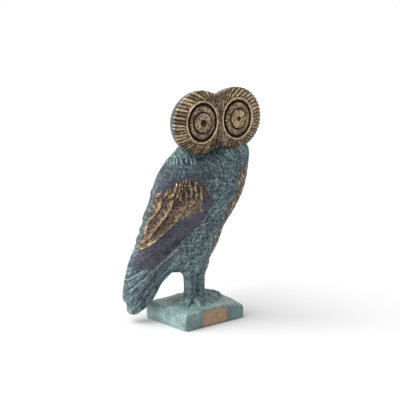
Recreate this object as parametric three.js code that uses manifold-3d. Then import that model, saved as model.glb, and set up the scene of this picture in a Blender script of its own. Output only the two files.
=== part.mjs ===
// A small cast-bronze owl on a low block, owl and block poured as one piece.
// The body stands almost in profile, and the wide two-lobed face looks over the block's front edge.
// Millimetres, +Z up. The origin is the middle of the block's underside, the face looks along -Y,
// and the owl's right wing is the one on the -X, -Y side.

import * as THREE from 'three';
import { mergeVertices } from 'three/addons/utils/BufferGeometryUtils.js';
import Module from 'manifold-3d';

const wasm = await Module();
wasm.setup();

// Block under the owl
const BLOCK = { width: 52, depth: 44, height: 12, corner: 1.6, bevel: 1.2 };
const MOUND = { x: 2.5, y: 2, halfX: 23, halfY: 19, rise: 3.2 };

// Row of shallow strokes in the bare patch on the block's front
const STROKES = { count: 7, left: -7, pitch: 2.6, height: 3.4, width: 0.7, depth: 0.4, z: 6.2 };

// Body axis: where it stands on the block, and how far it is turned from +X towards -Y
const AXIS = { x: 1.5, y: 3.5, turn: THREE.MathUtils.degToRad(20) };
const SQUARENESS = 2.2;

// Level sections of the trunk: height, back, front, half width on the right and on the left
const TRUNK = [
  [33, -17, 5.5, 6, 6],
  [35, -28, 8, 9.2, 9],
  [40, -41.5, 10.8, 12, 11.8],
  [52, -40.5, 17.1, 15.2, 15],
  [64, -36.1, 21.4, 17.4, 17],
  [76, -32.2, 29.2, 19.1, 18.6],
  [88, -28.3, 35, 19.6, 19],
  [100, -23.8, 38, 18.2, 17.6],
  [108, -18.6, 39.2, 16.2, 16],
  [112, -14.9, 40, 13.6, 14.6],
  [117, -10.5, 39, 8.6, 12.5],
  [124, -5, 31, 6, 9.5],
  [132, 3, 22, 3, 5],
];

// Level sections of the tail, in the same columns
const TAIL = [
  [5.6, -44.8, -41.2, 2.4, 2.4],
  [7, -46.6, -39, 4.6, 4.6],
  [10, -47.3, -34.8, 6.3, 6.3],
  [13.6, -47.5, -31, 7.4, 7.4],
  [14.8, -49.2, -30, 8, 8],
  [20, -50, -26.7, 8.9, 8.9],
  [27, -49, -22.7, 10, 10],
  [33, -47.6, -16.6, 11.2, 11],
  [40, -45.6, -10, 12.4, 12],
  [45, -42.7, -9, 12.6, 12.2],
  [51, -38, -12, 11, 11],
];

// Legs: foot of the shin, its radius, and the belly point that the thigh comes from
const LEGS = [
  { foot: [-4.3, 1.5], hip: [-3.4, 1.2], shin: 3, thigh: 6.6, heading: -98 },
  { foot: [8.7, 6], hip: [7.8, 4.6], shin: 3.7, thigh: 6.8, heading: -72 },
];
const LEG = { bottom: 11, ankle: 15.5, knee: 26, hip: 38, top: 46, spread: 1.5 };
const TOE = { length: 13, width: 4, height: 3.6, fan: [-32, 0, 30], level: 14.9, slope: 9, claw: 3.4 };

// Face: middle of the rim, half distance between the eyes, and the outline of one lobe
const FACE = { x: 12.1, y: -9.7, z: 135.3, tilt: THREE.MathUtils.degToRad(1) };
const LOBE = { spacing: 15, outward: 23.5, inward: 21.4, up: 21.3, down: 21, blend: 7.6 };
const SKULL = { depth: 19.5, columns: 36, rings: 4, share: 0.985 };
const RAYS = { count: 32, inner: 15.4, rise: 0.55, edge: 0.35, ringLevel: 2.2, rimLevel: 0.6, sweep: 0.45 };
const EYE_SQUEEZE = 0.95;

// Eye from the back, over the thin raised ring and its groove, the dome and its circle, to the pupil
const EYE_PROFILE = [
  [0, -1], [14.8, -1], [14.8, 2.2], [14.2, 3.1], [13.4, 2.7], [13, 1.1], [12.2, 1], [11.7, 2.3],
  [7.5, 4], [6.9, 3.5], [6.3, 4.2], [1.5, 4.9], [1.2, 3.7], [0, 3.7],
];
const EYE_SIDES = 18;
const BRIDGE = { top: 17.6, bottom: -17, strands: 4, pitch: 1.7, level: 2.6, back: -4, depth: 0.7 };
const BEAK = { v: -15, height: 8, radius: 2.4, lean: 0.35 };

// Raised feather edges on one side of the body, each as points of distance along the axis and height
const FEATHER_EDGES = [
  [[-25, 88], [-27.6, 79], [-34, 68.5], [-38.6, 59.5]],
  [[-18.8, 86], [-22, 78], [-29, 67.5], [-39.4, 54.5]],
  [[-9.9, 85.4], [-14, 76.5], [-23.5, 65], [-37, 52.4]],
  [[7, 84], [0.5, 72], [-14.5, 56.5], [-34.5, 36.5]],
];
const RIDGE = { radius: 1.05, sink: 0.35, sides: 4 };
const WING_RISE = 0.9;
const TAIL_RIDGES = { near: 3, far: 2, radius: 0.9 };

// Rows of pointed scales on the skin: each row swells downwards and ends in a zigzag step
const SCALES = { columns: 38, rows: 16, rise: 0.8, step: 0.9, zigzag: 0.9, covertsFrom: 84 };

// Smooth curve through the stations of a table: the value of one column at height z
function through(table, z, column) {
  const last = table.length - 1;
  if (z <= table[0][0]) return table[0][column];
  if (z >= table[last][0]) return table[last][column];
  const i = table.findIndex((row) => row[0] > z) - 1;
  const slope = (k) => {
    const a = table[Math.max(k - 1, 0)];
    const b = table[Math.min(k + 1, last)];
    return (b[column] - a[column]) / (b[0] - a[0]);
  };
  const [z0, z1] = [table[i][0], table[i + 1][0]];
  const step = z1 - z0;
  const t = (z - z0) / step;
  const [t2, t3] = [t * t, t * t * t];
  return (2 * t3 - 3 * t2 + 1) * table[i][column] + (t3 - 2 * t2 + t) * step * slope(i)
    + (3 * t2 - 2 * t3) * table[i + 1][column] + (t3 - t2) * step * slope(i + 1);
}

// Place of a point given along the body axis, across it to the owl's left, and up
function bodyPoint(along, across, z) {
  const [c, s] = [Math.cos(AXIS.turn), Math.sin(AXIS.turn)];
  return new THREE.Vector3(AXIS.x + along * c + across * s, AXIS.y - along * s + across * c, z);
}

// Place of a point of the face given to the right, up, and out from its rim
function facePoint(u, v, w) {
  const [c, s] = [Math.cos(FACE.tilt), Math.sin(FACE.tilt)];
  return new THREE.Vector3(FACE.x + u * c - v * s, FACE.y - w, FACE.z + u * s + v * c);
}

// Moves every point of a three.js geometry by a rule, and keeps the positions alone
function reshape(geometry, rule) {
  const place = geometry.attributes.position;
  for (let i = 0; i < place.count; i += 1) {
    const p = rule(place.getX(i), place.getY(i), place.getZ(i));
    place.setXYZ(i, p.x, p.y, p.z);
  }
  return geometry;
}

// Solid of a closed geometry
function solid(geometry) {
  geometry.deleteAttribute('normal');
  geometry.deleteAttribute('uv');
  const merged = mergeVertices(geometry, 1e-4);
  return new wasm.Manifold(new wasm.Mesh({
    numProp: 3,
    vertProperties: new Float32Array(merged.attributes.position.array),
    triVerts: new Uint32Array(merged.index.array),
  }));
}

const signedPower = (value, power) => Math.sign(value) * Math.abs(value) ** power;

// One level section: the point at an angle, and at a share of the way out from the middle
function sectionPoint(table, z, angle, reach = 1, proud = 0) {
  const [back, front, right, left] = [1, 2, 3, 4].map((column) => through(table, z, column));
  const c = signedPower(Math.cos(angle), 2 / SQUARENESS);
  const s = signedPower(Math.sin(angle), 2 / SQUARENESS);
  const along = (back + front) / 2 + ((front - back) / 2 + proud) * c * reach;
  const across = ((s < 0 ? right : left) + proud) * s * reach;
  return { along, across };
}

// Distance across from the axis to the skin on one side, for a place on that side
function skinAcross(table, along, z, side) {
  const [back, front] = [through(table, z, 1), through(table, z, 2)];
  const half = (front - back) / 2;
  const share = Math.min(Math.abs((along - (back + front) / 2) / half), 1);
  const width = through(table, z, side < 0 ? 3 : 4);
  return side * width * (1 - share ** SQUARENESS) ** (1 / SQUARENESS);
}

// How far forward the wing reaches at a height, from its lower front edge
function wingFront(z) {
  const edge = FEATHER_EDGES[3].map(([along, height]) => [height, along]).reverse();
  return through(edge, z, 1);
}

// Whether a place on the trunk lies on a folded wing, and whether it has scales:
// the breast, neck and belly do, and so do the short feathers at the wing's shoulder
const onWing = (along, z) => z > 42 && z < 100 && along < wingFront(z);
const scaly = (along, z) => (onWing(along, z) ? z > SCALES.covertsFrom : along > -14 - 0.1 * (z - 60));

// Trunk: a closed skin over the level sections, with raised wings and rows of scales.
// Each row of scales has a ring of points at its foot, standing proud, and one at its top
function trunk() {
  const [low, high] = [TRUNK[0][0], TRUNK[TRUNK.length - 1][0]];
  const pitch = (high - low) / SCALES.rows;
  const lastRing = 2 * SCALES.rows - 1;
  const form = new THREE.CylinderGeometry(1, 1, 1, SCALES.columns, lastRing);
  return solid(reshape(form, (x, y, z) => {
    const angle = Math.atan2(x, z);
    const ring = Math.round((y + 0.5) * lastRing);
    const border = Math.ceil(ring / 2);
    const atFoot = ring % 2 === 0;
    const atEnd = ring === 0 || ring === lastRing;
    const column = Math.round((angle / (2 * Math.PI) + 1) * SCALES.columns);
    const zigzag = (column + border) % 2 ? SCALES.zigzag : -SCALES.zigzag;
    const bare = low + pitch * border + (atEnd ? 0 : (atFoot ? 0.5 : -0.5) * SCALES.step);
    const { along } = sectionPoint(TRUNK, bare, angle);
    const hasScales = scaly(along, bare) && !atEnd;
    const level = bare + (hasScales ? zigzag : 0);
    const wing = onWing(along, level) ? WING_RISE * Math.abs(Math.sin(angle)) : 0;
    const proud = hasScales && atFoot ? SCALES.rise : 0;
    const skin = sectionPoint(TRUNK, level, angle, Math.hypot(x, z), wing + proud - SCALES.rise / 3);
    return bodyPoint(skin.along, skin.across, level);
  }));
}

// Tail: the long feathers, stepped where the wing tips end
function tail() {
  const [low, high] = [TAIL[0][0], TAIL[TAIL.length - 1][0]];
  const form = new THREE.CylinderGeometry(1, 1, 1, 16, 12);
  return solid(reshape(form, (x, y, z) => {
    const height = low + (y + 0.5) * (high - low);
    const skin = sectionPoint(TAIL, height, Math.atan2(x, z), Math.hypot(x, z));
    return bodyPoint(skin.along, skin.across, height);
  }));
}

// Thin raised edge along a smooth line
function ridge(points, radius, steps) {
  const section = new THREE.Shape();
  section.absarc(0, 0, radius, 0, 2 * Math.PI, false);
  const path = new THREE.CatmullRomCurve3(points);
  return solid(new THREE.ExtrudeGeometry(section, {
    steps, extrudePath: path, bevelEnabled: false, curveSegments: RIDGE.sides / 2,
  }));
}

// Points of a line on one side of the body, from its places along the axis and heights
function onSide(table, line, side, rise) {
  return line.map(([along, z]) => {
    const across = skinAcross(table, along, z, side);
    return bodyPoint(along, across + side * rise, z);
  });
}

// Long feather edges and the wing's lower front edge, on one side
function featherEdges(side) {
  return FEATHER_EDGES.map((line) => {
    const curve = new THREE.SplineCurve(line.map(([along, z]) => new THREE.Vector2(along, z)));
    const finer = curve.getPoints(6).map((p) => [p.x, p.y]);
    return ridge(onSide(TRUNK, finer, side, WING_RISE - RIDGE.sink), RIDGE.radius, side < 0 ? 7 : 5);
  });
}

// Long strokes down one side of the tail
function tailRidges(side) {
  const strokes = [];
  const count = side < 0 ? TAIL_RIDGES.near : TAIL_RIDGES.far;
  for (let i = 0; i < count; i += 1) {
    const share = (i + 0.5) / count;
    const line = [44, 34, 22, 15 - 4 * share].map((z) => {
      const [back, front] = [through(TAIL, z, 1), through(TAIL, z, 2)];
      return [back + (front - back) * (0.12 + 0.76 * share), z];
    });
    strokes.push(ridge(onSide(TAIL, line, side, -RIDGE.sink), TAIL_RIDGES.radius, 5));
  }
  return strokes;
}

// Leg: a thigh that comes out of the belly and narrows to a round shin
function leg({ foot, hip, shin, thigh }) {
  const form = new THREE.CylinderGeometry(1, 1, 1, 10, 8);
  return solid(reshape(form, (x, y, z) => {
    const height = LEG.bottom + (y + 0.5) * (LEG.top - LEG.bottom);
    const up = THREE.MathUtils.smoothstep(height, LEG.knee, LEG.hip);
    const down = 1 - THREE.MathUtils.smoothstep(height, LEG.bottom, LEG.ankle + 2);
    const closing = 1 - 0.8 * THREE.MathUtils.smoothstep(height, LEG.hip, LEG.top);
    const radius = (shin + (thigh - shin) * up + LEG.spread * down) * closing;
    const [cx, cy] = [0, 1].map((k) => foot[k] + (hip[k] - foot[k]) * up);
    return new THREE.Vector3(cx + x * radius, cy - z * radius, height);
  }));
}

// Toes of one foot: rounded wedges fanned towards the block's front, each with a claw
function toes({ foot, heading }) {
  return TOE.fan.flatMap((turn) => {
    const bearing = THREE.MathUtils.degToRad(heading + turn);
    const place = (form, out, height, slope) => {
      form.rotateY(THREE.MathUtils.degToRad(slope));
      form.rotateZ(bearing);
      form.translate(foot[0] + out * Math.cos(bearing), foot[1] + out * Math.sin(bearing), height);
      return solid(form);
    };
    const pad = new THREE.SphereGeometry(1, 8, 5);
    pad.scale(TOE.length / 2, TOE.width / 2, TOE.height / 2);
    const claw = new THREE.ConeGeometry(1.2, TOE.claw, 4);
    claw.rotateZ(-Math.PI / 2);
    return [
      place(pad, TOE.length / 2, TOE.level, TOE.slope),
      place(claw, TOE.length, TOE.level - 1.2, TOE.slope),
    ];
  });
}

// Low mound that the feet stand on
function mound() {
  const profile = [[0, -4], [1, -0.5], [0.86, 0.14], [0.6, 0.5], [0.32, 0.85], [0, 1]]
    .map(([r, h]) => new THREE.Vector2(r, h < 0 ? h : h * MOUND.rise));
  const form = new THREE.LatheGeometry(profile, 16);
  return solid(reshape(form, (x, y, z) => new THREE.Vector3(
    MOUND.x + z * MOUND.halfX, MOUND.y + x * MOUND.halfY, BLOCK.height + y)));
}

// Block with rounded corners and soft edges
function block() {
  const { width, depth, height, corner, bevel } = BLOCK;
  const [hx, hy, r] = [width / 2 - bevel, depth / 2 - bevel, corner];
  const outline = new THREE.Shape();
  outline.moveTo(-hx + r, -hy);
  outline.absarc(hx - r, -hy + r, r, -Math.PI / 2, 0, false);
  outline.absarc(hx - r, hy - r, r, 0, Math.PI / 2, false);
  outline.absarc(-hx + r, hy - r, r, Math.PI / 2, Math.PI, false);
  outline.absarc(-hx + r, -hy + r, r, Math.PI, 1.5 * Math.PI, false);
  const form = new THREE.ExtrudeGeometry(outline, {
    depth: height - 2 * bevel, steps: 1, curveSegments: 2,
    bevelThickness: bevel, bevelSize: bevel, bevelSegments: 1,
  });
  return solid(form.translate(0, 0, bevel));
}

// Shallow strokes cut in the block's front, which stand for worn marks and are no letters
function strokeCuts() {
  return Array.from({ length: STROKES.count }, (_, i) => {
    const cut = new THREE.BoxGeometry(STROKES.width, 2 * STROKES.depth, STROKES.height);
    cut.rotateY(i % 3 === 1 ? 0.5 : -0.15);
    cut.translate(STROKES.left + STROKES.pitch * i, -BLOCK.depth / 2, STROKES.z);
    return solid(cut);
  });
}

// Distance-like value of one lobe's outline, below zero inside it
function lobeValue(u, v, side) {
  const across = (u - side * LOBE.spacing) * side;
  const a = across > 0 ? LOBE.outward : LOBE.inward;
  const b = v > 0 ? LOBE.up : LOBE.down;
  return (Math.hypot(across / a, v / b) - 1) * LOBE.up;
}

// Reach of the whole face outline from its middle, at an angle
function outlineReach(angle) {
  let [inside, outside] = [5, 45];
  for (let i = 0; i < 30; i += 1) {
    const r = (inside + outside) / 2;
    const [a, b] = [-1, 1].map((side) => lobeValue(r * Math.cos(angle), r * Math.sin(angle), side));
    const h = Math.max(LOBE.blend - Math.abs(a - b), 0) / LOBE.blend;
    const value = Math.min(a, b) - (h * h * LOBE.blend) / 4;
    if (value < 0) inside = r;
    else outside = r;
  }
  return inside;
}

// Back of the head: a smooth dome over the face outline
function skull() {
  const quarter = Array.from({ length: SKULL.rings + 1 }, (_, i) => (i / SKULL.rings) * (Math.PI / 2));
  const profile = [new THREE.Vector2(0, -SKULL.depth)];
  quarter.slice(1).forEach((t) => {
    profile.push(new THREE.Vector2(SKULL.share * Math.sin(t), -SKULL.depth * Math.cos(t)));
  });
  profile.push(new THREE.Vector2(0, 0));
  const form = new THREE.LatheGeometry(profile, SKULL.columns);
  return solid(reshape(form, (x, y, z) => {
    const angle = Math.atan2(x, z);
    const reach = Math.hypot(x, z) * outlineReach(angle);
    return facePoint(reach * Math.cos(angle), reach * Math.sin(angle), y);
  }));
}

// Rays round one eye: ridges and grooves from the ring to the rim, swept outwards over the top
function collar(side) {
  const columns = 2 * RAYS.count;
  const profile = [[0, -1], [0.95, -1], [1, 0], [0.5, 1], [0.45, 0.3], [0, 0.3]]
    .map(([r, h]) => new THREE.Vector2(r, h));
  const form = new THREE.LatheGeometry(profile, columns);
  return solid(reshape(form, (x, y, z) => {
    const angle = Math.atan2(x, z);
    const share = Math.hypot(x, z);
    const crest = Math.abs(Math.round((angle / (2 * Math.PI)) * columns)) % 2 === 0;
    const sweep = RAYS.sweep * Math.max(Math.sin(angle), 0) * (share > 0.6 ? 1 : 0);
    const turned = angle - side * sweep * Math.max(Math.cos(angle) * side + 0.5, 0);
    const [c, s] = [Math.cos(turned), Math.sin(turned)];
    const a = c * side > 0 ? LOBE.outward : LOBE.inward;
    const b = s > 0 ? LOBE.up : LOBE.down;
    const rim = 1 / Math.hypot(c / a, s / b);
    const toMiddle = c * side < 0 ? (LOBE.spacing - 0.2) / Math.abs(c) : Infinity;
    const edge = Math.min(rim, toMiddle) - (crest || toMiddle < rim ? 0 : RAYS.edge);
    const atEye = share > 0.4 && share < 0.6;
    const reach = atEye ? Math.min(RAYS.inner - (y < 1 ? 1 : 0), edge - 0.1) : share * edge;
    const ray = RAYS.rise * (crest ? 1 : -1);
    const level = y === 1 ? RAYS.ringLevel + ray : y;
    return facePoint(side * LOBE.spacing + reach * c, reach * s, y === 0 ? RAYS.rimLevel + ray : level);
  }));
}

// Eye with its raised ring, groove, dome, incised circle and pupil
function eye(side) {
  const profile = EYE_PROFILE.map(([r, w]) => new THREE.Vector2(r, w));
  const form = new THREE.LatheGeometry(profile, EYE_SIDES);
  return solid(reshape(form, (x, y, z) => (
    facePoint(side * LOBE.spacing + z * EYE_SQUEEZE, x, y))));
}

// Upright strands between the eyes, from the notch down to the chin
function bridge() {
  const half = (BRIDGE.strands * BRIDGE.pitch) / 2;
  const plan = new THREE.Shape();
  plan.moveTo(-half, BRIDGE.back);
  plan.lineTo(half, BRIDGE.back);
  for (let i = BRIDGE.strands; i > 0; i -= 1) {
    const u = -half + i * BRIDGE.pitch;
    plan.lineTo(u, BRIDGE.level - BRIDGE.depth);
    plan.lineTo(u - BRIDGE.pitch / 2, BRIDGE.level);
  }
  plan.lineTo(-half, BRIDGE.level - BRIDGE.depth);
  const form = new THREE.ExtrudeGeometry(plan, {
    depth: BRIDGE.top - BRIDGE.bottom, steps: 4, bevelEnabled: false,
  });
  return solid(reshape(form, (x, y, z) => {
    const v = BRIDGE.bottom + z;
    const pinch = 0.42 + 0.58 * Math.min((v / BRIDGE.top) ** 2, 1);
    const fall = y > 0 ? 1.6 * Math.max(v / BRIDGE.top, 0) ** 3 : 0;
    return facePoint(-x * pinch, v, y - fall);
  }));
}

// Small beak, a narrow wedge below the strands
function beak() {
  const form = new THREE.ConeGeometry(BEAK.radius, BEAK.height, 6);
  form.rotateX(Math.PI + BEAK.lean);
  return solid(reshape(form, (x, y, z) => facePoint(x, BEAK.v + y, z + 2)));
}

// The whole casting
function casting() {
  const sides = [-1, 1];
  const parts = [
    block(), mound(), trunk(), tail(), skull(), bridge(), beak(),
    ...LEGS.map(leg), ...LEGS.flatMap(toes),
    ...sides.flatMap((side) => [collar(side), eye(side)]),
    ...sides.flatMap((side) => [...featherEdges(side), ...tailRidges(side)]),
  ];
  const whole = parts.reduce((sum, part) => sum.add(part));
  return strokeCuts().reduce((rest, cut) => rest.subtract(cut), whole);
}

// Faces of a solid as a three.js geometry
function geometryOf(manifold) {
  const mesh = manifold.getMesh();
  const geometry = new THREE.BufferGeometry();
  geometry.setAttribute('position', new THREE.BufferAttribute(mesh.vertProperties, 3));
  geometry.setIndex(new THREE.BufferAttribute(mesh.triVerts, 1));
  geometry.computeVertexNormals();
  return geometry;
}

const patinatedBronze = new THREE.MeshStandardMaterial({
  color: 0x3f5f5c, roughness: 0.55, metalness: 0.6,
});
const owl = new THREE.Mesh(geometryOf(casting()), patinatedBronze);
owl.name = 'owl_on_block';

const figure = new THREE.Group();
figure.add(owl);

export default figure;
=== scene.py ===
"""A small cast-bronze owl on a low block, one casting, with a green and blue-black patina worn to bronze.

The skin is the zero level of smooth blended solids: level sections of trunk and tail along the body,
a domed head with the two-lobed face in front, legs, toes and block. Feathers, rays and strokes are then
raised on it. Lengths are millimetres until the mesh is made, and the mesh is in metres.
"""
import math

import bpy
import numpy as np
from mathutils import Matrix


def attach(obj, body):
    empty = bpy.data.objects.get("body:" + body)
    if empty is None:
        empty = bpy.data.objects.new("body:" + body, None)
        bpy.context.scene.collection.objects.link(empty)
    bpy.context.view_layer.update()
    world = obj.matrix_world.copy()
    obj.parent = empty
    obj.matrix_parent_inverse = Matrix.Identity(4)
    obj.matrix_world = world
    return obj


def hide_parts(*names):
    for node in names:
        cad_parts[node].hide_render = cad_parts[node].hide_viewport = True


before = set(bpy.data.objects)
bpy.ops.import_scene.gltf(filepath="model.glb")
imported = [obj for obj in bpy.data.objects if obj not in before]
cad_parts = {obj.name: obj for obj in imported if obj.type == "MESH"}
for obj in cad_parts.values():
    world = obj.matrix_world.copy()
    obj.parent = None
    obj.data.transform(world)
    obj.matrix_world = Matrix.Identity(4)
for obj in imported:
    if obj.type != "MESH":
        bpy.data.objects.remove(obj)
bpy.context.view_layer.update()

import openvdb
from mathutils import Vector

MM = 0.001
CELL = 0.34
FACES_LEFT = 196000
FAR = 8.0

# Block and the low mound that the feet stand on
BLOCK = {"width": 52, "depth": 44, "height": 12, "corner": 2.6, "bevel": 1.8}
WORN_CORNER = {"x": 27, "y": -23, "reach": 11, "drop": 2.6}
MOUND = {"x": 2.5, "y": 2, "half_x": 23, "half_y": 19, "rise": 3.2}
STROKES = {"count": 7, "left": -7, "pitch": 2.6, "height": 3.4, "width": 0.7, "depth": 0.4, "z": 6.2}

# Body axis: where it stands, and how far it is turned from +X towards -Y
AXIS = {"x": 1.5, "y": 3.5, "turn": math.radians(20)}
SQUARENESS = 2.2

# Level sections: height, back, front, half width on the right and on the left
TRUNK = [
    (33, -17, 5.5, 6, 6), (35, -28, 8, 9.2, 9), (40, -41.5, 10.8, 12, 11.8), (52, -40.5, 17.1, 15.2, 15),
    (64, -36.1, 21.4, 17.4, 17), (76, -32.2, 29.2, 19.1, 18.6), (88, -28.3, 35, 19.6, 19),
    (100, -23.8, 38, 18.2, 17.6), (108, -18.6, 39.2, 15.4, 16), (112, -14.9, 40, 11, 14.6),
    (117, -10.5, 38.6, 4.6, 12.5), (124, -5, 29, 2.6, 9.5), (132, 3, 22, 2, 5),
]
TAIL = [
    (5.6, -44.8, -41.2, 2.4, 2.4), (7, -46.6, -39, 4.6, 4.6), (10, -47.3, -34.8, 6.3, 6.3),
    (13.6, -47.5, -31, 7.4, 7.4), (14.8, -49.2, -30, 8, 8), (20, -50, -26.7, 8.9, 8.9),
    (27, -49, -22.7, 10, 10), (33, -47.6, -16.6, 11.2, 11), (40, -45.6, -10, 12.4, 12),
    (45, -42.7, -9, 12.6, 12.2), (51, -38, -12, 11, 11),
]

# Legs, and the toes fanned from each foot
LEGS = [
    {"foot": (-4.3, 1.5), "hip": (-3.4, 1.2), "shin": 3.3, "thigh": 6.6, "heading": -98},
    {"foot": (8.7, 6), "hip": (7.8, 4.6), "shin": 4, "thigh": 6.8, "heading": -72},
]
LEG = {"bottom": 11, "ankle": 15.5, "knee": 26, "hip": 38, "top": 46, "spread": 1.5}
TOE = {"length": 15, "width": 4.4, "height": 4, "fan": (-34, 0, 32), "level": 15, "slope": 9, "claw": 3.6}

# Face: middle of its rim, half distance between the eyes, and the outline of one lobe
FACE = {"x": 12.1, "y": -9.7, "z": 135.3, "tilt": math.radians(1)}
LOBE = {"spacing": 15, "outward": 23.5, "inward": 21.4, "up": 21.3, "down": 21, "blend": 7.6}
SKULL = {"depth": 19.5, "share": 0.985}
RAYS = {"height": 0.75, "ring_level": 2.1, "rim_level": 0.6, "jag": 0.9}
# Flow of the rays round an eye, by a place's angle about it from the side away from the beak:
# the way they run, and how far apart they meet the rim, all in degrees
RAY_FLOW = [
    (-180, -90, 9), (-135, -78, 9), (-105, -66, 7.6), (-75, -43, 7.2), (-40, -19, 6.4), (0, 8, 6),
    (45, 17, 7.8), (80, 27, 13), (100, 39, 14), (120, 71, 10.5), (150, 88, 8), (180, 90, 8),
]
EYES = [
    {"middle": (-15.6, 0.4), "iris": (-16.1, 0.2), "iris_half": (7.9, 7.3), "pupil": 2.3},
    {"middle": (15.1, 0.1), "iris": (15.2, 0.1), "iris_half": (7.3, 7.3), "pupil": 1.5},
]
EYE = {"squeeze": 0.965, "dome": 11.2, "ring_inner": 12.7, "ring": 14.4, "edge_level": 2.2, "swell": 1.5,
       "groove_level": 0.7, "ring_level": 3.0, "iris_groove": 0.85, "pupil_depth": 1.3}
BRIDGE = {"top": 17.6, "waist": 1.5, "flare": 3.6, "strands": 5, "level": 2.5, "rise": 0.7}
BEAK = {"top": -13.2, "bottom": -18.4, "half": 1.3, "rise": 1.2}

# Long feather edges of a wing, and its lower front edge: distance along the axis and height
FEATHER_EDGES = [
    ((-25, 88), (-27.6, 79), (-34, 68.5), (-38.6, 59.5)),
    ((-18.8, 86), (-22, 78), (-29, 67.5), (-39.4, 54.5)),
    ((-9.9, 85.4), (-14, 76.5), (-23.5, 65), (-37, 52.4)),
    ((7, 84), (0.5, 72), (-14.5, 56.5), (-34.5, 36.5)),
]
FEATHER = {"hollow": 0.7, "swell": 0.85, "edge": 0.5, "edge_width": 0.32}
WING = {"low": 42, "rise": 0.5, "top": 100}
COVERT = {"pitch": 3.3, "half": 1.05, "wave": 0.13, "wave_length": 8, "lean": 0.52, "rise": 0.5}
FLANK_LINE = ((17.5, 64), (16.6, 62.3), (7.6, 57.2), (0.6, 52), (-3, 47.5))
TAIL_FAN = {"along": 0, "z": 70}

# Hand-cut strokes: across and along a stroke's cell, how far it may lean, its raise, and its seed
CUTS = {
    "scale": {"across": 1.9, "along": 2.9, "thin": 0.5, "sway": 0.3, "rise": 0.42, "seed": 3},
    "drop": {"across": 3.1, "along": 4.3, "thin": 0.33, "sway": 0.1, "rise": 0.7, "seed": 8},
    "chest": {"across": 2.7, "along": 4.6, "thin": 0.45, "sway": 0.45, "rise": 0.55, "seed": 13},
    "tail": {"across": 1.25, "along": 13, "thin": 0.5, "sway": 0.012, "rise": 0.34, "seed": 21},
    "vane": {"across": 3.3, "along": 34, "thin": 0.52, "sway": 0.008, "rise": 0.3, "seed": 27},
    "leg": {"across": 1.5, "along": 4.2, "thin": 0.5, "sway": 0.2, "rise": 0.4, "seed": 33},
}


# Small maths

def smoothstep(low, high, value):
    t = np.clip((value - low) / (high - low), 0, 1)
    return t * t * (3 - 2 * t)


def through(table, z, column):
    """Smooth curve through the stations of a table: the value of one column at height z."""
    heights = np.array([row[0] for row in table], float)
    values = np.array([row[column] for row in table], float)
    slopes = np.gradient(values, heights)
    slopes[1:-1] = (values[2:] - values[:-2]) / (heights[2:] - heights[:-2])
    z = np.clip(z, heights[0], heights[-1])
    i = np.clip(np.searchsorted(heights, z, side="right") - 1, 0, len(heights) - 2)
    step = heights[i + 1] - heights[i]
    t = (z - heights[i]) / step
    t2 = t * t
    t3 = t2 * t
    return ((2 * t3 - 3 * t2 + 1) * values[i] + (t3 - 2 * t2 + t) * step * slopes[i]
            + (3 * t2 - 2 * t3) * values[i + 1] + (t3 - t2) * step * slopes[i + 1])


def join(a, b, blend):
    """Smooth union of two distances."""
    h = np.maximum(blend - np.abs(a - b), 0) / blend
    return np.minimum(a, b) - h * h * blend / 4


def meet(a, b, blend):
    """Smooth intersection of two distances."""
    return -join(-a, -b, blend)


def bump(phase, power=1.0):
    """Rounded wave of a phase: 1 at a whole turn, 0 half way between, sharper for a higher power."""
    return np.maximum(0.5 + 0.5 * np.cos(phase), 0) ** power


def random_of(cell, other, seed):
    """Repeatable random number from 0 to 1 for each whole-numbered cell."""
    value = np.sin(cell * 12.9898 + other * 78.233 + seed * 37.719) * 43758.5453
    return value - np.floor(value)


def to_body(x, y):
    """Distance along the body axis, and across it to the owl's left."""
    c, s = math.cos(AXIS["turn"]), math.sin(AXIS["turn"])
    dx, dy = x - AXIS["x"], y - AXIS["y"]
    return dx * c - dy * s, dx * s + dy * c


def to_face(x, y, z):
    """Place in the face's own frame: to the right, up, and out from its rim."""
    c, s = math.cos(FACE["tilt"]), math.sin(FACE["tilt"])
    dx, dz = x - FACE["x"], z - FACE["z"]
    return dx * c + dz * s, -dx * s + dz * c, FACE["y"] - y


# Solids, each as a rough distance that is zero on its skin and negative inside

def sections(table, x, y, z):
    along, across = to_body(x, y)
    back, front, right, left = (through(table, z, column) for column in (1, 2, 3, 4))
    middle, half = (back + front) / 2, (front - back) / 2
    width = np.where(across < 0, right, left)
    share = (np.abs((along - middle) / half) ** SQUARENESS + np.abs(across / width) ** SQUARENESS)
    share = np.maximum(share ** (1 / SQUARENESS), 0.05)
    skin = np.hypot(along - middle, across) * (1 - 1 / share)
    return meet(skin, np.maximum(table[0][0] - z, z - table[-1][0]), 1.5)


def trunk(x, y, z):
    return sections(TRUNK, x, y, z)


def tail(x, y, z):
    return sections(TAIL, x, y, z)


def leg(spec):
    def distance(x, y, z):
        up = smoothstep(LEG["knee"], LEG["hip"], z)
        down = 1 - smoothstep(LEG["bottom"], LEG["ankle"] + 2, z)
        closing = 1 - 0.8 * smoothstep(LEG["hip"], LEG["top"], z)
        radius = (spec["shin"] + (spec["thigh"] - spec["shin"]) * up + LEG["spread"] * down) * closing
        cx, cy = (spec["foot"][k] + (spec["hip"][k] - spec["foot"][k]) * up for k in (0, 1))
        skin = np.hypot(x - cx, y - cy) - radius
        return np.maximum(skin, np.maximum(LEG["bottom"] - z, z - LEG["top"]))
    return distance


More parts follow.
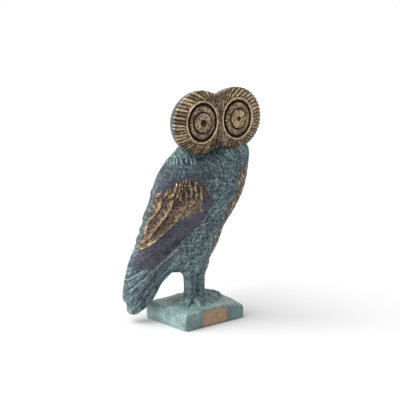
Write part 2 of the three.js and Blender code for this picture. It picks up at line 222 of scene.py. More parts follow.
def toe(spec, turn):
    """Rounded wedge with a claw at its end, pointing away from the foot."""
    bearing, slope = math.radians(spec["heading"] + turn), math.radians(TOE["slope"])
    half = (TOE["length"] / 2, TOE["width"] / 2, TOE["height"] / 2)
    middle = TOE["length"] / 2

    def distance(x, y, z):
        dx, dy = x - spec["foot"][0], y - spec["foot"][1]
        out = dx * math.cos(bearing) + dy * math.sin(bearing) - middle
        side = -dx * math.sin(bearing) + dy * math.cos(bearing)
        level = z - TOE["level"]
        ahead = out * math.cos(slope) - level * math.sin(slope)
        above = out * math.sin(slope) + level * math.cos(slope)
        share = np.sqrt((ahead / half[0]) ** 2 + (side / half[1]) ** 2 + (above / half[2]) ** 2)
        share = np.maximum(share, 0.05)
        pad = np.sqrt(ahead ** 2 + side ** 2 + above ** 2) * (1 - 1 / share)
        reach = np.clip((ahead - middle + TOE["claw"] / 2) / TOE["claw"], 0, 1)
        claw = np.hypot(side, above + 1) - 1.2 * (1 - reach)
        claw = np.maximum(claw, np.abs(ahead - middle) - TOE["claw"] / 2)
        return join(pad, claw, 0.6)
    return distance


def block_top(x, y):
    """Height of the block's upper face with its mound, lower at the worn corner."""
    out = ((x - MOUND["x"]) / MOUND["half_x"]) ** 2 + ((y - MOUND["y"]) / MOUND["half_y"]) ** 2
    mound = MOUND["rise"] * np.maximum(1 - out, 0) ** 1.3
    near = ((x - WORN_CORNER["x"]) ** 2 + (y - WORN_CORNER["y"]) ** 2) / WORN_CORNER["reach"] ** 2
    return BLOCK["height"] + mound - WORN_CORNER["drop"] * np.exp(-near)


def block(x, y, z):
    r = BLOCK["corner"]
    qx = np.abs(x) - BLOCK["width"] / 2 + r
    qy = np.abs(y) - BLOCK["depth"] / 2 + r
    sides = np.hypot(np.maximum(qx, 0), np.maximum(qy, 0)) + np.minimum(np.maximum(qx, qy), 0) - r
    body = meet(sides, z - block_top(x, y), 2 * BLOCK["bevel"])
    return meet(body, -z, 1)


def lobe_value(u, v, side):
    """Distance-like value of one lobe's outline, below zero inside it."""
    across = (u - side * LOBE["spacing"]) * side
    return (np.hypot(*lobe_shares(across, v)) - 1) * LOBE["up"]


def lobe_shares(across, v):
    """How far out a place lies on one lobe, sideways and upright, 1 being its rim."""
    a = np.where(across > 0, LOBE["outward"], LOBE["inward"])
    b = np.where(v > 0, LOBE["up"], LOBE["down"])
    return across / a, v / b


def outline_table():
    """Reach of the face's outline from its middle at each of many angles, found by halving."""
    angles = np.linspace(-math.pi, math.pi, 721)
    inside, outside = np.full_like(angles, 5.0), np.full_like(angles, 45.0)
    for _ in range(30):
        r = (inside + outside) / 2
        u, v = r * np.cos(angles), r * np.sin(angles)
        value = join(lobe_value(u, v, -1), lobe_value(u, v, 1), LOBE["blend"])
        inside, outside = np.where(value < 0, r, inside), np.where(value < 0, outside, r)
    return angles, inside


OUTLINE = outline_table()


def ray_table(cell=0.25, step=0.4):
    """Count of the ray at each place of one lobe, found by following the flow out to the rim."""
    angles, ways, gaps = (np.radians(column) for column in np.array(RAY_FLOW, float).T)
    fine = np.linspace(-math.pi, math.pi, 721)
    rate = 1 / np.interp(fine, angles, gaps)
    counts = np.concatenate([[0], np.cumsum((rate[1:] + rate[:-1]) / 2 * np.diff(fine))])
    lines = np.arange(-26, 26 + cell, cell)
    across, v = (grid.copy() for grid in np.meshgrid(lines, lines, indexing="ij"))
    for _ in range(int(50 / step)):
        inside = np.hypot(*lobe_shares(across, v)) < 1
        way = np.interp(np.arctan2(v, across), angles, ways)
        across += np.where(inside, step * np.cos(way), 0)
        v += np.where(inside, step * np.sin(way), 0)
    beyond = np.maximum(np.hypot(*lobe_shares(across, v)), 1)
    return lines, np.interp(np.arctan2(v / beyond, across / beyond), fine, counts)


RAY_LINES, RAY_COUNTS = ray_table()


def looked_up(lines, values, x, y):
    """Value between the places of a square table."""
    step = lines[1] - lines[0]
    i = np.clip((x - lines[0]) / step, 0, len(lines) - 1.001)
    j = np.clip((y - lines[0]) / step, 0, len(lines) - 1.001)
    left, low = i.astype(int), j.astype(int)
    s, t = i - left, j - low
    return ((1 - s) * (1 - t) * values[left, low] + s * (1 - t) * values[left + 1, low]
            + (1 - s) * t * values[left, low + 1] + s * t * values[left + 1, low + 1])


def ray_height(u, v):
    """Rays round the nearer eye: 1 on a crest, 0 in a groove, and how far out from the ring, 0 to 1."""
    side = np.where(u < 0, -1.0, 1.0)
    across = (u - side * LOBE["spacing"]) * side
    rim = np.hypot(*lobe_shares(across, v))
    ring = EYE["ring"] / (0.5 * (LOBE["up"] + LOBE["outward"]))
    out = np.clip((rim - ring) / (1 - ring), 0, 1.2)
    count = looked_up(RAY_LINES, RAY_COUNTS, across, v) + 0.5 * (side > 0)
    own = random_of(np.floor(count), side, 2)
    crest = bump(2 * math.pi * count + math.pi, 0.42) * (0.8 + 0.2 * own)
    return crest, out, own


def bridge_height(u, v):
    """Upright strands between the eyes: their level, and 1 on a strand, 0 between."""
    share = np.clip(np.abs(v) / BRIDGE["top"], 0, 1)
    half = BRIDGE["waist"] + BRIDGE["flare"] * share ** 2.4
    place = u / half
    crest = bump(place * math.pi * BRIDGE["strands"], 0.7)
    level = BRIDGE["level"] - 1.5 * np.maximum(v / BRIDGE["top"], 0) ** 3
    level = level + BRIDGE["rise"] * (crest - 0.5) - 3 * np.maximum(np.abs(place) - 0.9, 0)
    return level, crest, place


def beak_height(u, v):
    share = np.clip((v - BEAK["bottom"]) / (BEAK["top"] - BEAK["bottom"]), 0, 1)
    width = BEAK["half"] * bump(2 * math.pi * (0.88 * share - 0.38), 0.35) + 0.05
    inside = np.clip(1 - np.abs(u) / width, 0, 1)
    return BEAK["rise"] * np.sqrt(inside) * (share > 0) * (share < 1)


def eye_level(eye, u, v):
    """One eye: a ring, a groove inside it, a swelling dome with a ringed iris, and the pupil's hollow."""
    far = np.hypot((u - eye["middle"][0]) / EYE["squeeze"], v - eye["middle"][1])
    iris = np.hypot((u - eye["iris"][0]) / eye["iris_half"][0], (v - eye["iris"][1]) / eye["iris_half"][1])
    dome = EYE["edge_level"] + EYE["swell"] * np.sqrt(np.maximum(1 - (far / EYE["dome"]) ** 2, 0))
    dome = dome + 0.35 * (1 - smoothstep(0.86, 0.92, iris))
    dome = dome - EYE["iris_groove"] * np.exp(-((iris - 0.95) / 0.055) ** 2)
    dome = dome - EYE["pupil_depth"] * (1 - smoothstep(0.5, 1.1, iris * eye["iris_half"][1] / eye["pupil"]))
    middle = (EYE["ring_inner"] + EYE["ring"]) / 2
    half = (EYE["ring"] - EYE["ring_inner"]) / 2
    ring = EYE["ring_level"] * (1 - 0.3 * ((far - middle) / half) ** 2)
    level = np.where(far < EYE["dome"], dome, EYE["groove_level"])
    bank = smoothstep(EYE["ring_inner"] - 0.35, EYE["ring_inner"] + 0.25, far)
    return far, iris, level * (1 - bank) + ring * bank


def face_level(u, v):
    """How far the front of the face stands out from its rim plane."""
    crest, out, _ = ray_height(u, v)
    level = RAYS["ring_level"] + (RAYS["rim_level"] - RAYS["ring_level"]) * np.clip(out, 0, 1)
    level = level + RAYS["height"] * (crest - 0.6) * smoothstep(0, 0.1, out)
    strand, _, _ = bridge_height(u, v)
    level = -join(-level, -strand, 0.5)
    level = level + beak_height(u, v)
    for eye in EYES:
        far, _, own = eye_level(eye, u, v)
        level = np.where(far < EYE["ring"], own, level)
    return level


def head(x, y, z):
    """Dome behind the two-lobed outline, with the carved face in front."""
    u, v, w = to_face(x, y, z)
    angles, reaches = OUTLINE
    r = np.hypot(u, v)
    reach = SKULL["share"] * np.interp(np.arctan2(v, u), angles, reaches)
    crest, _, _ = ray_height(u, v)
    reach = reach + RAYS["jag"] * (crest - 0.6) * smoothstep(-4, -1, w)
    behind = np.minimum(w, 0)
    share = np.maximum(np.sqrt((r / reach) ** 2 + (behind / SKULL["depth"]) ** 2), 0.05)
    dome = np.sqrt(r * r + behind * behind) * (1 - 1 / share)
    return meet(dome, w - face_level(u, v), 0.9)


def all_solids():
    """Each solid with the box that holds it and the width of its blend with those before it."""
    solids = [
        (trunk, (-46, -28, 31), (46, 30, 134), 1),
        (tail, (-50, -20, 4), (6, 40, 53), 3),
        (head, (-32, -20, 110), (54, 14, 160), 0.9),
    ]
    for spec in LEGS:
        x, y = spec["foot"]
        solids.append((leg(spec), (x - 10, y - 10, 9), (x + 10, y + 10, 48), 3))
    solids.append((block, (-28, -24, -2), (28, 24, 18), 1.6))
    for spec in LEGS:
        x, y = spec["foot"]
        for turn in TOE["fan"]:
            solids.append((toe(spec, turn), (x - 14, y - 18, 10), (x + 14, y + 6, 19), 0.9))
    return solids


SOLIDS = all_solids()


def whole(points):
    """Distance of the whole casting's skin at each point."""
    value = np.full(len(points), FAR)
    for distance, low, high, blend in SOLIDS:
        inside = np.all((points > low) & (points < high), axis=1)
        near = points[inside]
        value[inside] = join(value[inside], distance(near[:, 0], near[:, 1], near[:, 2]), blend)
    return value


def slope_of(points, step=0.05):
    """Gradient of the whole casting's distance."""
    columns = []
    for axis in range(3):
        shift = np.zeros(3)
        shift[axis] = step
        columns.append((whole(points + shift) - whole(points - shift)) / (2 * step))
    return np.stack(columns, axis=1)


def skin_mesh():
    """Points and triangles of the casting's skin, from its distance on a grid."""
    low, high = np.array((-50.0, -26.0, -3.0)), np.array((54.0, 31.0, 160.0))
    count = np.ceil((high - low) / CELL).astype(int)
    lines = [low[k] + CELL * np.arange(count[k]) for k in range(3)]
    value = np.full(count, FAR, np.float32)
    for distance, box_low, box_high, blend in SOLIDS:
        span = []
        for k in range(3):
            first = max(np.searchsorted(lines[k], box_low[k]), 0)
            span.append(slice(first, np.searchsorted(lines[k], box_high[k])))
        x = lines[0][span[0]][:, None, None].astype(np.float32)
        y = lines[1][span[1]][None, :, None].astype(np.float32)
        z = lines[2][span[2]][None, None, :].astype(np.float32)
        part = value[tuple(span)]
        value[tuple(span)] = join(part, distance(x, y, z).astype(np.float32), blend)
    volume = openvdb.FloatGrid(FAR)
    volume.copyFromArray(value)
    points, triangles, quads = volume.convertToPolygons(isovalue=0.0, adaptivity=0.0)
    points = low + CELL * points.astype(float)
    faces = np.concatenate([triangles, quads[:, [0, 1, 2]], quads[:, [0, 2, 3]]])
    for _ in range(2):
        slope = slope_of(points)
        steep = np.maximum((slope ** 2).sum(axis=1), 0.25)
        shift = whole(points) / steep
        points = points - np.clip(shift, -0.3, 0.3)[:, None] * slope
    return points, faces


# Relief raised on the skin. Each height is in millimetres, and a crest runs from 0 in a groove to 1; in a few places
# the crest is also lowered as painted shade and raised as painted light

def line_along(index, z):
    """Distance along the axis of one feather edge at height z, carried on below its end."""
    line = list(FEATHER_EDGES[index])
    end = np.array(line[-1])
    centre = np.array((TAIL_FAN["along"], TAIL_FAN["z"]))
    line.append(tuple(end + 0.4 * (end - centre)))
    table = sorted((height, along) for along, height in line)
    return through(table, z, 1)


def feather_blades(along, z):
    """Long feathers of the wing: each blade swells from a hollow to a thin raised edge.

    Gives the height, how golden it is, the thin edges, and the share of the way over the band in front.
    """
    height, gold, rib = np.zeros_like(z), np.zeros_like(z), np.zeros_like(z)
    start = through(TRUNK, z, 1) - 1
    for index in range(3):
        edge = line_along(index, z)
        share = np.clip((along - start) / (edge - start), 0, 1)
        inside = (along > start) & (along <= edge)
        height = np.where(inside, -FEATHER["hollow"] + FEATHER["swell"] * share ** 1.6, height)
        gold = np.where(inside, 0.15 + 0.75 * share ** 1.5, gold)
        rib = np.maximum(rib, np.exp(-(np.abs(edge - along) * 0.8 / FEATHER["edge_width"]) ** 2))
        start = edge
    edge = line_along(3, z)
    share = np.clip((along - start) / (edge - start), 0, 1)
    inside = (along > start) & (along <= edge)
    # A real groove beside the band's front edge low on the wing, which the wing also paints darker as painted shade.
    trench = smoothstep(0.6, 0.9, share) * smoothstep(46, 49, z) * (1 - smoothstep(56, 62, z))
    height = np.where(inside, -FEATHER["hollow"] + 0.6 * smoothstep(0, 0.25, share) - 0.7 * trench, height)
    height = height + 0.4 * np.exp(-((edge - along) * 0.8 / 0.6) ** 2) + FEATHER["edge"] * rib
    return height, gold, rib, np.where(inside, share, 0), trench * inside


def coverts(along, z):
    """Short feathers at the wing's shoulder: wavy upright ribbons, ragged at both ends."""
    low = z - 84.5
    lean = COVERT["lean"] * (1 - smoothstep(-19, -13, along - 0.25 * low))
    place = (along - lean * low) / COVERT["pitch"]
    best = np.zeros_like(z)
    for side in (-1, 0, 1):
        column = np.floor(place) + side
        rolls = [random_of(column, 4, 40 + k) for k in range(4)]
        length = COVERT["wave_length"] * (0.8 + 0.5 * rolls[0])
        turn = 2 * math.pi * (z / length + rolls[1])
        middle = column + 0.5 + COVERT["wave"] * np.sin(turn)
        half = COVERT["half"] * (0.9 + 0.3 * np.sin(1.7 * turn + 6 * rolls[2]))
        at = (column + 0.5) * COVERT["pitch"]
        top = 98.6 - 0.028 * np.minimum(at + 10, 0) ** 2 - 0.15 * np.maximum(at + 8, 0) ** 2 + 2.4 * (rolls[3] - 0.5)
        foot = np.where(at > -9, 77.5, 85) + 2.5 * (rolls[0] - 0.5)
        ends = smoothstep(foot - 1.5, foot + 0.5, z) * (1 - smoothstep(top - 0.6, top + 0.4, z))
        ridge = np.sqrt(np.maximum(1 - ((place - middle) * COVERT["pitch"] / half) ** 2, 0)) * ends
        best = np.maximum(best, ridge * (at < 1))
    return best


def near_line(along, z, line, width):
    """1 on a thin raised line through places along the body and up, falling to 0 beside it."""
    table = sorted((height, place) for place, height in line)
    middle = through(table, z, 1)
    ends = smoothstep(table[0][0], table[0][0] + 2, z) * (1 - smoothstep(table[-1][0] - 1, table[-1][0], z))
    return np.exp(-((along - middle) * 0.75 / width) ** 2) * ends


def cuts(a, b, kind):
    """Hand-cut strokes in staggered rows over a surface laid flat: a runs across them and b down them.

    Gives the height of the tallest stroke at each place, 0 to 1, and that stroke's own tone, 0 to 1.
    """
    across, along, seed = kind["across"], kind["along"], kind["seed"]
    row = np.floor(b / along)
    best, tone = np.zeros_like(a), np.zeros_like(a)
    for down in (-1, 0, 1):
        line = row + down
        shift = 0.5 * (line % 2) + 0.3 * random_of(line, 0, seed)
        column = np.floor(a / across + shift)
        for side in (-1, 0, 1):
            cell = column + side
            rolls = [random_of(cell, line, seed + k) for k in range(5)]
            low = b - along * (line + 0.5 + 0.4 * (rolls[0] - 0.5))
            off = a - across * (cell - shift + 0.5 + 0.45 * (rolls[1] - 0.5))
            off = off + kind["sway"] * (2 * rolls[2] - 1) * low
            size = 0.8 + 0.4 * rolls[3]
            long = low / (0.66 * along * size)
            wide = off / (kind["thin"] * across * size * (1.05 - 0.3 * np.clip(long, -1, 1)))
            height = np.sqrt(np.maximum(1 - wide ** 2 - long ** 2, 0)) * (0.8 + 0.2 * long)
            taller = height > best
            best = np.where(taller, height, best)
            tone = np.where(taller, rolls[4], tone)
    return best, tone


def cloud(points, size, seed, octaves=2):
    """Soft lumpy noise from 0 to 1, with lumps of the given size in millimetres."""
    total, weight = np.zeros(len(points)), 0.0
    for octave in range(octaves):
        place = points * (2 ** octave / size)
        cell = np.floor(place)
        part = place - cell
        part = part * part * (3 - 2 * part)
        value = np.zeros(len(points))
        for corner in range(8):
            step = np.array([(corner >> axis) & 1 for axis in range(3)])
            near = np.prod(np.where(step, part, 1 - part), axis=1)
            at = cell + step
            value += near * random_of(at[:, 0] + 57 * at[:, 2], at[:, 1], seed + octave)
        total += value / 2 ** octave
        weight += 1 / 2 ** octave
    return total / weight


def arc_table():
    """Way round a trunk section from its front, against the angle from its middle."""
    angles = np.linspace(0, math.pi, 181)
    along = 30 * np.sign(np.cos(angles)) * np.abs(np.cos(angles)) ** (2 / SQUARENESS)
    across = 18 * np.abs(np.sin(angles)) ** (2 / SQUARENESS)
    steps = np.hypot(np.diff(along), np.diff(across))
    true = np.arctan2(across / 18, along / 30)
    return true, np.concatenate([[0], np.cumsum(steps)])


def way_round(along, across, z):
    """Way round the trunk from the breast's front, in millimetres, negative on the right side."""
    back, front = through(TRUNK, z, 1), through(TRUNK, z, 2)
    half = (front - back) / 2
    width = np.where(across < 0, through(TRUNK, z, 3), through(TRUNK, z, 4))
    angle = np.arctan2(np.abs(across) / width, (along - (back + front) / 2) / half)
    angles, ways = arc_table()
    return np.sign(across) * np.interp(angle, angles, ways) * (half / 30)


def tail_place(along, z):
    """Place in the fan of the tail's strokes: across them and down them, in millimetres."""
    across = TAIL_FAN["along"] - along
    angle = np.arctan2(TAIL_FAN["z"] - z, across)
    far = np.hypot(TAIL_FAN["z"] - z, across)
    return 46 * angle, far


def nearest(points):
    """Weight of head, trunk, tail, legs and block at each point of the skin."""
    x, y, z = points.T
    legs = np.minimum(leg(LEGS[0])(x, y, z), leg(LEGS[1])(x, y, z))
    toes = np.full(len(points), FAR)
    for spec in LEGS:
        for turn in TOE["fan"]:
            toes = np.minimum(toes, toe(spec, turn)(x, y, z))
    parts = {"head": head(x, y, z), "trunk": trunk(x, y, z), "tail": tail(x, y, z),
             "legs": legs, "toes": toes, "block": block(x, y, z)}
    weights = {}
    for name, distance in parts.items():
        others = np.min([d for other, d in parts.items() if other != name], axis=0)
        weights[name] = 1 - smoothstep(-0.7, 0.7, distance - others)
    return weights


MASKS = ("crest", "bronze", "night", "dusk", "pale", "turquoise", "polish")


def look(crest, **masks):
    return {"crest": crest, **masks}


def breast_relief(place, way):
    """Leaf-shaped scales over breast, back and belly, longer drops at the shoulder and down the chest."""
    x, y, z = place.T
    size = 1 + 0.3 * smoothstep(104, 114, z)
    scale, tone = cuts(way / size, -z / size, CUTS["scale"])
    drop, drop_tone = cuts(way, -z, CUTS["drop"])
    ridge, ridge_tone = cuts(way + 0.35 * z, -z, CUTS["chest"])
    along, across = to_body(x, y)
    shoulder = smoothstep(107, 107.8, z) * (1 - smoothstep(111.4, 112.2, z)) * smoothstep(-22, -18, along)
    shoulder = shoulder * (1 - smoothstep(-4, 0, along))
    spread = np.abs(way) + 7 * (cloud(place, 4, 5) - 0.5) + 4 * (1 - smoothstep(58, 74, z))
    chest = (1 - smoothstep(16.5, 21.5, spread)) * smoothstep(44, 52, z) * (1 - smoothstep(100, 113, z))
    height = (scale - 0.45) * CUTS["scale"]["rise"]
    height = height + shoulder * ((drop - 0.4) * CUTS["drop"]["rise"] - height)
    height = height + chest * ((ridge - 0.4) * CUTS["chest"]["rise"] - height)
    crest = 0.05 + 0.52 * scale + 0.4 * tone * scale
    crest = crest + shoulder * (0.1 + 0.95 * drop + 0.15 * drop_tone - crest)
    crest = crest + chest * (0.02 + 0.55 * ridge + 0.45 * ridge_tone * ridge - crest)
    crest = crest - 0.2 * smoothstep(97, 100, z) * (1 - smoothstep(104, 108, z)) * (1 - smoothstep(4, 14, along))
    # Painted light: from height 110 up, the shelf under the chin is made lighter where light falls on it; below
    # height 66 the belly is made a little lighter too.
    crest = crest + 0.15 * smoothstep(110, 113, z) + 0.08 * (1 - smoothstep(52, 66, z))
    line = near_line(along, z, FLANK_LINE, 0.4) * (across < 0)
    shown = look(np.maximum(crest, 0.85 * line), bronze=chest * (0.34 + 0.45 * ridge_tone), night=0.3 * chest)
    return height + 0.3 * line, shown


def wing_relief(place, along, across):
    """Feather blades, the ribbons over their roots, and the smooth dark band in front of them."""
    z = place[:, 2]
    blade, gold, rib, band, trench = feather_blades(along, z)
    ribbon = coverts(along, z)
    rough = cloud(place, 0.9, 9)
    waver = 2.5 * (cloud(place, 2.4, 45) - 0.5)
    roots = smoothstep(83, 87, z + waver)
    inky = smoothstep(93, 98.5, z + 2 * waver + 0.05 * np.maximum(-12 - along, 0) ** 2)
    height = blade * (1 - roots) + WING["rise"] + COVERT["rise"] * (ribbon - 0.3 * roots) + 0.22 * (rough - 0.5)
    on_band = (band > 0) * (1 - roots)
    freckle = on_band * (1 - smoothstep(0.3, 0.7, band + 0.6 * (rough - 0.5))) * smoothstep(70, 76, z + waver)
    low = 1 - smoothstep(56, 66, z)
    stroke, _ = cuts(*tail_place(along, z), CUTS["tail"])
    blades = (1 - on_band) * (1 - roots)
    crest = blades * (0.1 + 0.5 * gold + 0.5 * (rough - 0.5))
    # Painted shade: the carved trench along the band's front edge, from height 46 to about 60, is also painted darker
    # here.
    crest = crest + on_band * (0.32 + 0.4 * (rough - 0.5) - 0.5 * trench + 0.45 * low * (stroke - 0.6))
    crest = crest + roots * (0.1 + 0.2 * rough) + 0.16 * freckle
    crest = np.maximum(crest, ribbon * (0.42 + 0.4 * rough))
    crest = np.maximum(crest, rib * (1 - roots))
    bronze = np.maximum(blades * 1.0, roots * (0.75 * (1 - inky)))
    bronze = np.maximum(np.maximum(bronze, smoothstep(0.1, 0.4, ribbon)), 0.5 * freckle)
    bronze = np.maximum(bronze, rib * (1 - roots))
    night = np.maximum(on_band * (1 - 0.5 * freckle), roots * np.maximum(inky, 0.6))
    height = height + 0.3 * on_band * low * (stroke - 0.5)
    return height, look(crest, bronze=bronze, night=night, dusk=on_band * smoothstep(0.1, 0.5, band))


def tail_relief(place, along):
    """Fine strokes fanned down the tail and the wing's tips, over broader vanes."""
    across, down = tail_place(along, place[:, 2])
    stroke, tone = cuts(across, down, CUTS["tail"])
    vane, shade = cuts(across, down, CUTS["vane"])
    height = (stroke - 0.45) * CUTS["tail"]["rise"] + (vane - 0.5) * CUTS["vane"]["rise"]
    crest = 0.02 + 0.42 * stroke + 0.3 * tone + 0.28 * vane
    lower = 1 - smoothstep(14, 24, place[:, 2])
    return height, look(crest, night=0.5 * (shade < 0.4) * (1 - lower), bronze=0.12 * (shade > 0.8))


def leg_relief(place):
    """Short upright strokes on the legs, and rougher ones on the toes, with painted shade down the near leg's right
    side.
    """
    x, y, z = place.T
    near = np.hypot(x - LEGS[0]["foot"][0], y - LEGS[0]["foot"][1])
    far = np.hypot(x - LEGS[1]["foot"][0], y - LEGS[1]["foot"][1])
    spec = np.where(near < far, 0, 1)
    centre = np.array([leg["foot"] for leg in LEGS])[spec]
    turn = np.arctan2(y - centre[:, 1], x - centre[:, 0])
    stroke, tone = cuts(4 * turn, -z, CUTS["leg"])
    lump = cloud(place, 2.2, 17)
    height = CUTS["leg"]["rise"] * (stroke - 0.45) + 0.5 * (lump - 0.5)
    # Painted shade: the near leg's right side, turned from the light towards the far leg, is made darker and
    # blue-black from height 13 up to about 34.
    painted_leg_shade = np.exp(-((np.degrees(turn) + 62) / 26) ** 2) * (near < far) * (1 - smoothstep(28, 34, z))
    crest = 0.05 + 0.55 * stroke + 0.3 * tone + 0.3 * lump - 0.3 * painted_leg_shade
    return height, look(crest, pale=0.15 + 0 * z, night=0.9 * painted_leg_shade * smoothstep(13, 16, z))


def block_relief(place):
    """Lumpy stone round the feet, worn and nearly smooth on the sides, with painted shade on the front face."""
    x, y, z = place.T
    top = smoothstep(BLOCK["height"] - 1.2, BLOCK["height"] + 0.6, z)
    out = np.hypot((x - MOUND["x"]) / MOUND["half_x"], (y - MOUND["y"]) / MOUND["half_y"])
    stone = top * (1 - smoothstep(0.75, 1.1, out))
    lump, wear = cloud(place, 3.2, 23, 3), cloud(place, 9, 29)
    height = 1.7 * stone * (lump - 0.5) + 0.55 * (wear - 0.5) + 0.12 * (cloud(place, 1.1, 31) - 0.5)
    crest = 0.5 + stone * (1.5 * (lump - 0.5) - 0.1) + 0.3 * (wear - 0.5)
    # Painted shade: the block's front face, turned from the key light, gets less of the pale chalky coat and so is
    # painted darker than the sides.
    painted_front_shade = 1 - smoothstep(-21.9, -20.5, y)
    return height, look(crest, pale=(1 - 0.55 * stone) * (1 - 0.6 * painted_front_shade))


def face_relief(u, v):
    """No further relief: crests of rays, strands, rings and domes against their grooves."""
    ray, out, own = ray_height(u, v)
    _, strand, place = bridge_height(u, v)
    on_bridge = (np.abs(place) < 1) & (np.abs(v) < BRIDGE["top"] + 3)
    low = smoothstep(10, 20, -v)
    crest = np.where(on_bridge, 0.7 * strand, ray * (0.75 + 0.25 * own)) * (1 - 0.35 * low)
    for eye in EYES:
        far, iris, _ = eye_level(eye, u, v)
        shade = 0.6 + 0.1 * np.cos(3 * (iris - 0.4))
        shade = shade * smoothstep(0.03, 0.1, np.abs(iris - 0.95))
        shade = shade * smoothstep(0.75, 1.15, iris * eye["iris_half"][1] / eye["pupil"])
        shade = shade * (1 - smoothstep(EYE["dome"] - 0.4, EYE["dome"] + 0.1, far))
        ring = smoothstep(EYE["ring_inner"] - 0.2, EYE["ring_inner"] + 0.3, far)
        shade = np.maximum(shade, 0.95 * ring * (1 - 0.7 * smoothstep(EYE["ring"] - 0.5, EYE["ring"] + 0.2, far)))
        crest = np.where(far < EYE["ring"] + 0.2, shade, crest)
    groove = np.zeros_like(u)
    for eye in EYES:
        far, _, _ = eye_level(eye, u, v)
        between = (far > EYE["dome"] - 0.3) & (far < EYE["ring_inner"] + 0.2)
        groove = np.maximum(groove, between * smoothstep(8.5, 10.5, -v))
    return look(crest, turquoise=groove)


def carve(points):
    """Relief height of each point of the skin, and its crest and patina masks, which also carry some painted shade
    and painted light.
    """
    x, y, z = points.T
    along, across = to_body(x, y)
    u, v, w = to_face(x, y, z)
    part = nearest(points)
    sided = smoothstep(2, 6, np.abs(across))
    waver = 1.6 * (cloud(points, 3, 37) - 0.5)
    wing = smoothstep(-0.3, 0.5, line_along(3, z) - along) * smoothstep(WING["low"] - 6, WING["low"], z)
    wing = wing * (1 - smoothstep(WING["top"] - 3, WING["top"] + 2, z + 2.5 * waver)) * sided
    wing = wing * (1 - smoothstep(84, 92, z) * smoothstep(0, 3, along + waver))
    behind = smoothstep(-9, -17, along) * (1 - smoothstep(50, 56, z))
    behind = np.maximum(behind, part["tail"]) * (part["trunk"] + part["tail"]) * (1 - wing)
    front = smoothstep(-1.2, -0.2, w) * part["head"]
    face = face_relief(u, v)
    layers = [
        (part["trunk"] * (1 - wing) * (1 - behind), *breast_relief(points, way_round(along, across, z))),
        ((part["trunk"] + part["tail"]) * wing, *wing_relief(points, along, across)),
        (behind, *tail_relief(points, along)),
        (part["legs"] + part["toes"], *leg_relief(points)),
        (part["block"], *block_relief(points)),
        (front, 0, look(face["crest"], bronze=1, turquoise=face["turquoise"])),
        (part["head"] - front, 0, look(0.5, night=0.9, polish=1)),
    ]
    height = np.zeros(len(points))
    masks = {name: np.zeros(len(points)) for name in MASKS}
    for weight, raised, shown in layers:
        height += weight * raised
        for name, value in shown.items():
            masks[name] += weight * value
    return height, {name: np.clip(value, 0, 1) for name, value in masks.items()}


def stroke_cuts(points):
    """Depth of the worn marks in the block's bare front patch, which are no letters."""
    x, y, z = points.T
    depth = np.zeros(len(points))
    for index in range(STROKES["count"]):
        lean = 0.5 if index % 3 == 1 else -0.15
        middle = STROKES["left"] + STROKES["pitch"] * index
        rise = z - STROKES["z"]
        off = np.abs((x - middle) * math.cos(lean) - rise * math.sin(lean))
        end = np.abs(rise) - STROKES["height"] / 2
        cut = (1 - smoothstep(0.15, STROKES["width"], off)) * (1 - smoothstep(-0.4, 0.3, end))
        depth = np.maximum(depth, cut)
    return -STROKES["depth"] * depth * (y < -BLOCK["depth"] / 2 + 0.6)


# Geometry node trees and the finished mesh

def link_chain(tree, *pairs):
    for output, socket in pairs:
        tree.links.new(output, socket)


def cast_skin_tree():
    """Geometry nodes that roughen a skin as sand casting does: soft grain and scattered pits."""
    tree = bpy.data.node_groups.new("cast_skin", "GeometryNodeTree")
    face = tree.interface
    face.new_socket("Geometry", in_out="INPUT", socket_type="NodeSocketGeometry")
    for name in ("Grain Height", "Grain Scale", "Pit Depth", "Pit Scale", "Seed"):
        face.new_socket(name, in_out="INPUT", socket_type="NodeSocketFloat")
    face.new_socket("Metal", in_out="INPUT", socket_type="NodeSocketMaterial")
    face.new_socket("Geometry", in_out="OUTPUT", socket_type="NodeSocketGeometry")
    nodes = tree.nodes
    start = nodes.new("NodeGroupInput")
    end = nodes.new("NodeGroupOutput")
    normal = nodes.new("GeometryNodeInputNormal")
    grain = nodes.new("ShaderNodeTexNoise")
    pits = nodes.new("ShaderNodeTexNoise")
    for noise, scale in ((grain, "Grain Scale"), (pits, "Pit Scale")):
        noise.noise_dimensions = "4D"
        noise.inputs["Detail"].default_value = 2
        link_chain(tree, (start.outputs[scale], noise.inputs["Scale"]), (start.outputs["Seed"], noise.inputs["W"]))
    swell = nodes.new("ShaderNodeMath")
    swell.operation = "MULTIPLY_ADD"
    swell.inputs[2].default_value = 0
    centred = nodes.new("ShaderNodeMath")
    centred.operation = "SUBTRACT"
    centred.inputs[1].default_value = 0.5
    hole = nodes.new("ShaderNodeMapRange")
    hole.inputs["From Min"].default_value = 0.6
    hole.inputs["From Max"].default_value = 0.72
    sunk = nodes.new("ShaderNodeMath")
    sunk.operation = "MULTIPLY"
    total = nodes.new("ShaderNodeMath")
    total.operation = "SUBTRACT"
    shift = nodes.new("ShaderNodeVectorMath")
    shift.operation = "SCALE"
    move = nodes.new("GeometryNodeSetPosition")
    real = nodes.new("GeometryNodeRealizeInstances")
    paint = nodes.new("GeometryNodeSetMaterial")
    link_chain(
        tree,
        (grain.outputs["Fac"], centred.inputs[0]),
        (centred.outputs[0], swell.inputs[0]),
        (start.outputs["Grain Height"], swell.inputs[1]),
        (pits.outputs["Fac"], hole.inputs["Value"]),
        (hole.outputs["Result"], sunk.inputs[0]),
        (start.outputs["Pit Depth"], sunk.inputs[1]),
        (swell.outputs[0], total.inputs[0]),
        (sunk.outputs[0], total.inputs[1]),
        (normal.outputs["Normal"], shift.inputs[0]),
        (total.outputs[0], shift.inputs["Scale"]),
        (start.outputs["Geometry"], move.inputs["Geometry"]),
        (shift.outputs["Vector"], move.inputs["Offset"]),
        (move.outputs["Geometry"], real.inputs["Geometry"]),
        (real.outputs["Geometry"], paint.inputs["Geometry"]),
        (start.outputs["Metal"], paint.inputs["Material"]),
        (paint.outputs["Geometry"], end.inputs["Geometry"]),
    )
    return tree


